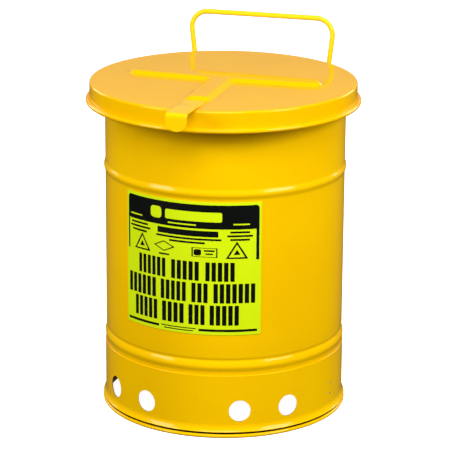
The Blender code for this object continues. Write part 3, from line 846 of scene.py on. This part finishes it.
def build_lid():
    """One pressed sheet: the T rib, the flat top, the flange and the curl."""
    middle = LID_TOP - SHEET / 2
    outer = LID_RADIUS - SHEET / 2
    corner = LID_CORNER - SHEET / 2
    tube = CURL_RADIUS - SHEET / 2
    profile = [(outer - corner - 0.0022, middle), (outer - corner - 0.0012, middle)]
    profile += arc((outer - corner, middle - corner), corner, 90, 0, 8)
    profile += plain(outer, middle - corner, CURL_HEIGHT, 4)
    profile += arc((CURL_CENTRE_RADIUS, CURL_HEIGHT), tube, 180, 505, 30)
    bm = lathe(profile, LID_CENTRE_Y, closed=False)
    bm.verts.ensure_lookup_table()
    rim = bm.verts[:SIDES]
    loops = []
    for inset, height in rib_section():
        loops.append([bm.verts.new((p[0], p[1] + LID_CENTRE_Y, middle + height)) for p in rib_loop(inset)])
    bridge(bm, loops)
    fill_between(bm, closed_edges(bm, rim) + closed_edges(bm, loops[0]))
    fill_between(bm, closed_edges(bm, loops[-1]))
    lid = to_object("pressed_lid", bm, sharp=LID_SHARP)
    apply_modifier(lid, "SOLIDIFY", thickness=SHEET, offset=0.0, use_even_offset=True)
    shade(lid.data, LID_SHARP)
    # A darker, more orange copy of the drum's yellow: painted shade for the lid's top
    finish = enamel("lid_enamel_painted_shade", LID_PAINTED_SHADE_YELLOW, LID_PAINTED_SHADE_YELLOW_DEEP, gloss=(0.05, 0.10), peel=0.03)
    paint_piece(lid, "lid", finish, "lid_cover")


def smooth_path(corners, radii, steps=8):
    """Points along straight runs joined by arcs, one radius for each inner corner."""
    points = [Vector(corners[0])]
    for before, corner, after, radius in zip(corners, corners[1:], corners[2:], radii):
        corner = Vector(corner)
        into = (Vector(before) - corner).normalized()
        out = (Vector(after) - corner).normalized()
        half = into.angle(out) / 2
        centre = corner + (into + out).normalized() * radius / math.sin(half)
        first = corner + into * radius / math.tan(half) - centre
        last = corner + out * radius / math.tan(half) - centre
        sweep = first.angle(last)
        hinge_line = first.cross(last)
        for k in range(steps + 1):
            points.append(centre + Matrix.Rotation(sweep * k / steps, 3, hinge_line) @ first)
    points.append(Vector(corners[-1]))
    return points


def resample(points, count):
    """Evenly spaced points along a path."""
    lengths = [0.0]
    for a, b in zip(points, points[1:]):
        lengths.append(lengths[-1] + (b - a).length)
    spaced = []
    k = 0
    for j in range(count):
        target = lengths[-1] * j / (count - 1)
        while k < len(points) - 2 and lengths[k + 1] < target:
            k += 1
        span = lengths[k + 1] - lengths[k]
        t = min(max((target - lengths[k]) / span, 0), 1)
        spaced.append(points[k].lerp(points[k + 1], t))
    return spaced


def build_lift_tab():
    """A folded strip: a welded tail, a rise past the lid's edge, and a rounded tongue that turns down."""
    half = TAB_THICKNESS / 2
    tail = LID_TOP + GAP + half
    top = TAB_TOP - half
    front = TAB_FRONT_Y + half
    corners = [
        (0, TAB_TAIL_Y, tail),
        (0, TAB_LIFT_Y, tail),
        (0, TAB_LIFT_Y - 0.020, top - 0.0006),
        (0, front, top),
        (0, front, TAB_TIP),
    ]
    path = resample(smooth_path(corners, (0.020, 0.020, 0.0032)), 61)
    tongue = TAB_HALF_WIDTH * 0.9
    bm = bmesh.new()
    rows = []
    for point in path:
        above_tip = point.z - TAB_TIP
        width = TAB_HALF_WIDTH
        if point.y < front + 0.001 and above_tip < tongue:
            width *= math.sqrt(max(1 - (1 - above_tip / tongue) ** 2, 0.012))
        rows.append([bm.verts.new((width * k / 8, point.y, point.z)) for k in range(-8, 9)])
    bridge(bm, rows, closed=False)
    tab = to_object("lift_tab_strip", bm)
    apply_modifier(tab, "SOLIDIFY", thickness=TAB_THICKNESS, offset=0.0)
    sharp = math.radians(50)
    apply_modifier(tab, "BEVEL", width=0.0004, segments=3, limit_method="ANGLE", angle_limit=sharp)
    shade(tab.data, TAB_SHARP)
    # A lighter copy of the drum's yellow: painted light for the tab's front, which faces the lights
    finish = enamel("tab_enamel_painted_light", TAB_PAINTED_LIGHT_YELLOW, TAB_PAINTED_LIGHT_YELLOW_DEEP)
    paint_piece(tab, "lid", finish, "lift_tab")


# -------- hinge

def tube_along_x(low, high, outer, inner, sides=40):
    """A knuckle on the hinge line, with eased rims and a bore."""
    ease = 0.0004
    outline = [(inner, low + ease), (inner + ease, low), (outer - ease, low), (outer, low + ease)]
    outline += [(outer, high - ease), (outer - ease, high), (inner + ease, high), (inner, high - ease)]
    return spindle(outline, HINGE_MIDDLE, (1, 0, 0), sides)


def bent_strip(path, low, high, thickness):
    """A strip of sheet that follows a path in y and z, between two x positions."""
    bm = bmesh.new()
    loops = []
    for k, (y, z) in enumerate(path):
        before = Vector(path[max(k - 1, 0)])
        after = Vector(path[min(k + 1, len(path) - 1)])
        along = (after - before).normalized()
        side = Vector((-along.y, along.x)) * thickness / 2
        corners = ((low, 1), (high, 1), (high, -1), (low, -1))
        loops.append([bm.verts.new((x, y + side.x * s, z + side.y * s)) for x, s in corners])
    bm.faces.new(loops[0])
    bm.faces.new(loops[-1])
    bridge(bm, loops)
    bmesh.ops.recalc_face_normals(bm, faces=bm.faces)
    return soften(bm, 0.0003, 2, 50)


def flat_path(corners, radii):
    """A rounded path in y and z."""
    route = smooth_path([(0, y, z) for y, z in corners], radii, 6)
    return [(p.y, p.z) for p in route]


def build_bracket():
    """The fixed half: a plate on the drum, an arm to the centre knuckle, and the stop tongue."""
    inner = BODY_RADIUS + GAP
    outer = inner + BRACKET_THICKNESS
    reach = math.radians(BRACKET_HALF_ANGLE) * inner
    outline = rounded_rectangle(-reach, reach, BRACKET_BOTTOM, BRACKET_TOP, 0.004, 6)
    plate = soften(wrapped_plate(outline, inner, outer, 180), 0.0004, 2)
    back = HINGE_Y + KNUCKLE_RADIUS
    arm_path = flat_path([
        (inner + 0.0010, BRACKET_TOP - 0.0030),
        (back - 0.0050, BRACKET_TOP + 0.0002),
        (back + 0.0005, BRACKET_TOP + 0.0056),
        (back + 0.0005, HINGE_Z + 0.0005),
    ], (0.003, 0.003))
    arm = bent_strip(arm_path, -CENTRE_KNUCKLE_HALF, CENTRE_KNUCKLE_HALF, ARM_THICKNESS)
    stop_path = [(back + 0.0004, height) for height in (HINGE_Z - 0.0060, HINGE_Z + 0.003, STOP_TOP)]
    stop = bent_strip(stop_path, -STOP_HALF_WIDTH, STOP_HALF_WIDTH, ARM_THICKNESS)
    knuckle = tube_along_x(-CENTRE_KNUCKLE_HALF, CENTRE_KNUCKLE_HALF, KNUCKLE_RADIUS, BORE_RADIUS)
    bracket = to_object("hinge_bracket_plate", join(plate, arm, stop, knuckle))
    paint_piece(bracket, "can", enamel("bracket_enamel"), "hinge_bracket")


def build_leaf():
    """The moving half: a plate on the lid's flange with a lug and a knuckle on each side."""
    inner = LID_RADIUS + GAP
    outer = inner + LEAF_THICKNESS
    reach = math.radians(LEAF_HALF_ANGLE) * inner
    outline = rounded_rectangle(-reach, reach, LEAF_BOTTOM, LEAF_TOP, 0.003, 6)
    plate = soften(wrapped_plate(outline, inner, outer, 180, LID_CENTRE_Y), 0.0003, 2)
    crown = HINGE_Z + KNUCKLE_RADIUS - LUG_THICKNESS / 2
    parts = [plate]
    for side in (-1, 1):
        low = min(side * SIDE_KNUCKLE_START, side * SIDE_KNUCKLE_END)
        high = max(side * SIDE_KNUCKLE_START, side * SIDE_KNUCKLE_END)
        edge = max(abs(low), abs(high))
        near = LID_CENTRE_Y + math.sqrt(inner ** 2 - edge ** 2)
        path = [(near, crown + 0.0025), (near + 0.004, crown + 0.0014), (HINGE_Y, crown)]
        parts.append(bent_strip(path, low, high, LUG_THICKNESS))
        parts.append(tube_along_x(low, high, KNUCKLE_RADIUS, BORE_RADIUS))
    leaf = to_object("hinge_leaf_plate", join(*parts))
    paint_piece(leaf, "lid", enamel("leaf_enamel"), "hinge_leaf")


def build_pin():
    head_end = -(SIDE_KNUCKLE_END + GAP)
    head_start = head_end - PIN_HEAD_THICKNESS
    tail = SIDE_KNUCKLE_END + 0.004
    outline = [(0, tail), (PIN_RADIUS * 0.65, tail), (PIN_RADIUS * 0.9, tail - 0.0004)]
    outline.append((PIN_RADIUS, tail - 0.0010))
    outline += [(PIN_RADIUS, head_end), (KNUCKLE_RADIUS - 0.0002, head_end)]
    outline += [(KNUCKLE_RADIUS, head_end - 0.0002), (KNUCKLE_RADIUS, head_end - 0.0010)]
    outline += arc((KNUCKLE_RADIUS - 0.0010, head_start + 0.0010), 0.0010, 0, -90, 5)
    outline.append((0, head_start))
    pin = to_object("hinge_pin_turned", spindle(outline, HINGE_MIDDLE, (1, 0, 0)))
    place_piece(pin, "can", "zinc", zinc_plate("pin_zinc"), "hinge_pin")
    start = SIDE_KNUCKLE_END + GAP
    cap_outline = [(BORE_RADIUS, start), (KNUCKLE_RADIUS - 0.0002, start), (KNUCKLE_RADIUS, start + 0.0002)]
    cap_outline += arc((KNUCKLE_RADIUS - 0.0008, start + 0.0010), 0.0008, 0, 90, 5)
    cap_outline += [(BORE_RADIUS + 0.0002, start + 0.0018), (BORE_RADIUS, start + 0.0016)]
    cap = to_object("pin_cap_turned", spindle(cap_outline, HINGE_MIDDLE, (1, 0, 0)))
    place_piece(cap, "can", "zinc", zinc_plate("cap_zinc"), "pin_cap")


# -------- rivets

def build_rivet(node_name, body, angle, height, outer, inner, centre_y, finish):
    """A domed rivet along a wall's normal, with its upset tail inside."""
    head = outer + GAP / 2
    tail = inner - 2 * GAP
    outline = []
    for k in range(9):
        t = math.radians(90 * k / 8)
        dome = RIVET_HEAD_HEIGHT * (0.12 + 0.88 * math.cos(t))
        outline.append((RIVET_HEAD_RADIUS * math.sin(t), head + dome))
    outline += [(RIVET_HEAD_RADIUS, head), (RIVET_RADIUS, head), (RIVET_RADIUS, tail)]
    outline += [(RIVET_TAIL_RADIUS, tail), (RIVET_TAIL_RADIUS, tail - RIVET_TAIL_HEIGHT * 0.6)]
    outline += [(RIVET_TAIL_RADIUS * 0.8, tail - RIVET_TAIL_HEIGHT), (0, tail - RIVET_TAIL_HEIGHT)]
    direction = (*polar(1.0, angle), 0)
    rivet = to_object(node_name + "_domed", spindle(outline, (0, centre_y, height), direction))
    paint_piece(rivet, body, finish, node_name)


def build_rivets():
    finish = enamel("rivet_enamel", peel=0.02)
    outer = BODY_RADIUS + GAP + BRACKET_THICKNESS
    inner = BODY_RADIUS - SHEET
    for row, height in BRACKET_RIVET_HEIGHTS:
        for side, turn in (("left", 1), ("right", -1)):
            angle = 180 + turn * BRACKET_RIVET_ANGLE
            build_rivet("bracket_rivet_" + row + "_" + side, "can", angle, height, outer, inner, 0.0, finish)
    turn = math.degrees(math.asin(LEAF_RIVET_X / LID_RADIUS))
    for side, sign in (("left", 1), ("right", -1)):
        build_rivet("leaf_rivet_" + side, "lid", 180 + sign * turn, LEAF_RIVET_HEIGHT,
                    LID_RADIUS + GAP + LEAF_THICKNESS, LID_RADIUS - SHEET, LID_CENTRE_Y, finish)
    spread = math.degrees(CLAMP_RIVET_OFFSET / BODY_RADIUS)
    middle = (CLAMP_BOTTOM + CLAMP_TOP) / 2
    for side, sign in (("left", -1), ("right", 1)):
        for place, turn in (("outer", -1), ("inner", 1)):
            angle = sign * (180 - WALL_ANGLE + turn * spread)
            build_rivet("clamp_rivet_" + side + "_" + place, "can", angle, middle,
                        BODY_RADIUS + GAP + CLAMP_THICKNESS, inner, 0.0, finish)


# -------- handle

def sweep_wire(route, radius, sides=28):
    """A round wire along a route, with rounded ends and a cross-section that doesn't twist."""
    bm = bmesh.new()
    rings = []
    normal = Vector((0, 1, 0))
    count = len(route)
    for k, point in enumerate(route):
        along = (route[min(k + 1, count - 1)] - route[max(k - 1, 0)]).normalized()
        normal = (normal - along * normal.dot(along)).normalized()
        side = along.cross(normal)
        ring = []
        for j in range(sides):
            turn = 2 * math.pi * j / sides
            ring.append(bm.verts.new(point + radius * (normal * math.cos(turn) + side * math.sin(turn))))
        rings.append(ring)
    bridge(bm, rings)
    ends = [bm.faces.new(rings[0]), bm.faces.new(rings[-1])]
    rims = [edge for face in ends for edge in face.edges]
    bmesh.ops.bevel(bm, geom=rims, offset=radius * 0.35, segments=3, profile=0.5, affect="EDGES")
    return bm


def build_handle():
    """Level grip, two legs behind the lid, and feet that run down the drum's wall."""
    seat_radius = BODY_RADIUS + GAP + WIRE_RADIUS
    foot_x, foot_y = polar(seat_radius, 180 - WALL_ANGLE)
    corners = [
        (0, HANDLE_Y, GRIP_HEIGHT),
        (GRIP_HALF_WIDTH, HANDLE_Y, GRIP_HEIGHT),
        (LEG_BEND[0], HANDLE_Y, LEG_BEND[1]),
        (foot_x, foot_y, LEG_FOOT_HEIGHT),
        (foot_x, foot_y, WIRE_END_HEIGHT),
    ]
    right = smooth_path(corners, (GRIP_CORNER_RADIUS, LEG_CORNER_RADIUS, LEG_CORNER_RADIUS), 12)[1:]
    left = [Vector((-p.x, p.y, p.z)) for p in reversed(right)]
    handle = to_object("carry_handle_wire", sweep_wire(left + right, WIRE_RADIUS))
    finish = enamel("handle_enamel", LEMON, LEMON_DEEP, peel=0.02)
    paint_piece(handle, "can", finish, "carry_handle")


def build_clamp(side_name, side):
    """A saddle strap over the wire's foot: two feet on the wall and a rounded bridge between them."""
    low = BODY_RADIUS + GAP
    inside = WIRE_RADIUS + GAP
    outside = inside + CLAMP_THICKNESS
    top = CLAMP_THICKNESS
    centre = (0, inside)
    over = [(CLAMP_REACH, 0.0003), (CLAMP_REACH, top - 0.0003), (CLAMP_REACH - 0.0003, top)]
    over += [(outside + 0.0016, top)]
    over += arc((outside + 0.0010, top + 0.0010), 0.0010, 270, 180, 4)
    over += arc(centre, outside, 8, 172, 18)
    over += arc((-outside - 0.0010, top + 0.0010), 0.0010, 0, -90, 4)
    over += [(-outside - 0.0016, top)]
    over += [(-CLAMP_REACH + 0.0003, top), (-CLAMP_REACH, top - 0.0003), (-CLAMP_REACH, 0.0003)]
    under = [(-CLAMP_REACH + 0.0003, 0), (-inside - 0.0006, 0)]
    under += arc(centre, inside, 180, 0, 18)
    under += [(inside + 0.0006, 0), (CLAMP_REACH - 0.0003, 0)]
    outline = []
    middle = side * (180 - WALL_ANGLE)
    for sideways, lift in over + under:
        outline.append(polar(low + lift, middle + math.degrees(sideways / BODY_RADIUS)))
    strap = extrude_outline(outline, CLAMP_BOTTOM, CLAMP_TOP)
    bmesh.ops.recalc_face_normals(strap, faces=strap.faces)
    name = "handle_clamp_" + side_name
    clamp = to_object(name + "_strap", soften(strap, 0.00025, 2, 60))
    paint_piece(clamp, "can", enamel(name + "_enamel"), name)


# -------- label

def label_point(u, v):
    """From fractions of the label's width and depth, measured from its top left corner."""
    return (u - 0.5) * LABEL_WIDTH, LABEL_TOP - v * LABEL_DEPTH


def label_patch(left, right, top, bottom, radius=0.0):
    """A patch on the label, between fractions of its width and depth."""
    x0, y0 = label_point(left, bottom)
    x1, y1 = label_point(right, top)
    if radius == 0:
        return [(x0, y0), (x1, y0), (x1, y1), (x0, y1)]
    return rounded_rectangle(x0, x1, y0, y1, radius)


def printed(outline, layer, holes=()):
    """A thin printed film over an outline, with open shapes inside it if there are any."""
    bm = bmesh.new()
    edges = []
    for loop in (outline, *holes):
        edges += closed_edges(bm, [bm.verts.new((x, y, LABEL_OUTER)) for x, y in loop])
    bmesh.ops.triangle_fill(bm, use_beauty=True, use_dissolve=True, edges=edges, normal=(0, 0, 1))
    grown = bmesh.ops.extrude_face_region(bm, geom=bm.faces[:])
    for element in grown["geom"]:
        if isinstance(element, bmesh.types.BMVert):
            element.co.z += INK_LAYER * layer
    return wrap(bm, LABEL_MIDDLE)


def scaled(outline, factor):
    """An outline drawn in about its own middle."""
    middle = Vector((sum(p[0] for p in outline), sum(p[1] for p in outline))) / len(outline)
    return [tuple(middle + (Vector(p) - middle) * factor) for p in outline]


def build_label():
    outline = rounded_rectangle(-LABEL_WIDTH / 2, LABEL_WIDTH / 2, LABEL_BOTTOM, LABEL_TOP, LABEL_CORNER)
    sheet = to_object("label_sheet", wrapped_plate(outline, LABEL_INNER, LABEL_OUTER, LABEL_MIDDLE))
    vinyl = printed_vinyl("label_vinyl_lime", LIME, LIME_DEEP)
    place_piece(sheet, "can", "label_vinyl", vinyl, "front_label")


def build_label_print():
    """Plain blocks, bars, strokes and outlines in place of the label's words and marks."""
    black = [printed(label_patch(0.015, 0.985, 0.022, 0.200, 0.004), 1)]
    black += [printed(label_patch(*bar), 1) for bar in LABEL_BARS]
    for top, bottom, groups in LABEL_ROWS:
        for left, right in groups:
            strokes = round((right - left) / LABEL_STROKE_PITCH)
            pitch = (right - left + LABEL_STROKE_GAP) / strokes
            for k in range(strokes):
                start = left + k * pitch
                end = start + pitch - LABEL_STROKE_GAP
                stroke = label_patch(start, end, top, bottom, LABEL_STROKE_CORNER)
                black.append(printed(stroke, 1))
    for left, right in LABEL_TRIANGLES:
        triangle = [label_point(left, LABEL_TRIANGLE_FOOT), label_point(right, LABEL_TRIANGLE_FOOT)]
        triangle.append(label_point((left + right) / 2, LABEL_TRIANGLE_TOP))
        black.append(printed(triangle, 1, [scaled(triangle, 0.74)]))
        black.append(printed(scaled(triangle, 0.3), 1))
    diamond = [label_point(u, v) for u, v in LABEL_DIAMOND]
    black.append(printed(diamond, 1, [scaled(diamond, 0.80)]))
    frame_box = label_patch(0.53, 0.705, 0.342, 0.412)
    black.append(printed(frame_box, 1, [scaled(frame_box, 0.90)]))
    black.append(printed(label_patch(0.545, 0.595, 0.354, 0.400, 0.002), 1))
    ink = to_object("label_ink", join(*black))
    place_piece(ink, "can", "label_vinyl", printed_vinyl("label_ink_black", INK, INK_DEEP), "front_label")
    light = [printed(label_patch(*bar), 2) for bar in LABEL_LIGHT_BARS]
    reverse = to_object("label_reverse", join(*light))
    lime = printed_vinyl("label_reverse_lime", LIME, LIME_DEEP)
    place_piece(reverse, "can", "label_vinyl", lime, "front_label")


# -------- studio

def view_direction(azimuth, elevation):
    """A unit vector from the drum's axis, azimuth measured from the camera's own side."""
    x, y = polar(1.0, CAMERA_AZIMUTH + azimuth)
    rise = math.radians(elevation)
    return Vector((x * math.cos(rise), y * math.cos(rise), math.sin(rise)))


def build_camera():
    data = bpy.data.cameras.new("studio_camera")
    data.lens = CAMERA_LENS
    data.sensor_width = CAMERA_SENSOR
    data.clip_end = 50.0
    forward = Vector((
        math.sin(CAMERA_YAW) * math.cos(CAMERA_PITCH),
        math.cos(CAMERA_YAW) * math.cos(CAMERA_PITCH),
        math.sin(CAMERA_PITCH),
    ))
    level = Vector((math.cos(CAMERA_YAW), -math.sin(CAMERA_YAW), 0))
    upright = level.cross(forward)
    right = math.cos(CAMERA_ROLL) * level + math.sin(CAMERA_ROLL) * upright
    up = -math.sin(CAMERA_ROLL) * level + math.cos(CAMERA_ROLL) * upright
    stand = Matrix((right, up, -forward)).transposed().to_4x4()
    stand.translation = (0, -CAMERA_DISTANCE, CAMERA_HEIGHT)
    camera = bpy.data.objects.new("studio_camera", data)
    bpy.context.scene.collection.objects.link(camera)
    swing = Matrix.Rotation(math.radians(CAMERA_AZIMUTH), 4, "Z")
    camera.matrix_world = Matrix.Translation(AXIS) @ swing @ stand
    bpy.context.scene.camera = camera


def add_softbox(name, azimuth, elevation, distance, width, height, power):
    data = bpy.data.lights.new(name, "AREA")
    data.shape = "RECTANGLE"
    data.size = width
    data.size_y = height
    data.energy = power
    lamp = bpy.data.objects.new(name, data)
    bpy.context.scene.collection.objects.link(lamp)
    target = AXIS + Vector((0, 0, LIGHT_AIM_HEIGHT))
    lamp.location = target + view_direction(azimuth, elevation) * distance
    lamp.rotation_euler = (target - lamp.location).to_track_quat("-Z", "Y").to_euler()


def room_fade(tree, direction, fade, low, high):
    """Go smoothly from one brightness to another, towards a direction in the room."""
    place = tree.nodes.new("ShaderNodeTexCoord").outputs["Generated"]
    toward = add_node(tree, "ShaderNodeVectorMath", {0: place, 1: direction}, operation="DOT_PRODUCT")
    inputs = {"Value": toward.outputs["Value"], "To Min": low, "To Max": high}
    inputs["From Min"], inputs["From Max"] = fade
    made = add_node(tree, "ShaderNodeMapRange", inputs, interpolation_type="SMOOTHSTEP")
    return made.outputs["Result"]


def build_world():
    """A dim room with a brighter backdrop behind the can, plain white where it is seen directly."""
    world = bpy.data.worlds.new("studio_room")
    world.use_nodes = True
    bpy.context.scene.world = world
    tree = world.node_tree
    backdrop = room_fade(tree, view_direction(180, 0), ROOM_BACK_FADE, ROOM_FRONT, ROOM_BACK)
    horizon = room_fade(tree, Vector((0, 0, 1)), ROOM_FLOOR_FADE, ROOM_FLOOR, 1.0)
    strength = add_node(tree, "ShaderNodeMath", {0: backdrop, 1: horizon}, operation="MULTIPLY")
    room = tree.nodes["Background"]
    put(tree, room, "Color", (*ROOM_COLOUR, 1))
    put(tree, room, "Strength", strength.outputs["Value"])
    seen = add_node(tree, "ShaderNodeBackground", {"Color": (1, 1, 1, 1)})
    ray = tree.nodes.new("ShaderNodeLightPath").outputs["Is Camera Ray"]
    inputs = {"Fac": ray, 1: room.outputs["Background"], 2: seen.outputs["Background"]}
    choice = add_node(tree, "ShaderNodeMixShader", inputs)
    put(tree, tree.nodes["World Output"], "Surface", choice.outputs["Shader"])


def build_studio():
    bm = bmesh.new()
    bmesh.ops.create_circle(bm, cap_ends=True, segments=128, radius=FLOOR_DISC_RADIUS)
    floor = to_object("studio_floor", bm, recalculate=False)
    floor.data.materials.append(studio_floor())
    floor.visible_diffuse = False
    floor.visible_glossy = False
    build_world()
    for name, settings in SOFTBOXES.items():
        add_softbox(name, *settings)
    bpy.context.scene.view_settings.view_transform = "Standard"


def build_can():
    build_drum()
    build_side_seam()
    build_raised_floor()
    build_skirt()
    build_foot()
    build_label()
    build_label_print()
    build_lid()
    build_lift_tab()
    build_bracket()
    build_leaf()
    build_pin()
    build_handle()
    for name, side in (("left", -1), ("right", 1)):
        build_clamp(name, side)
    build_rivets()


build_camera()
build_can()
build_studio()
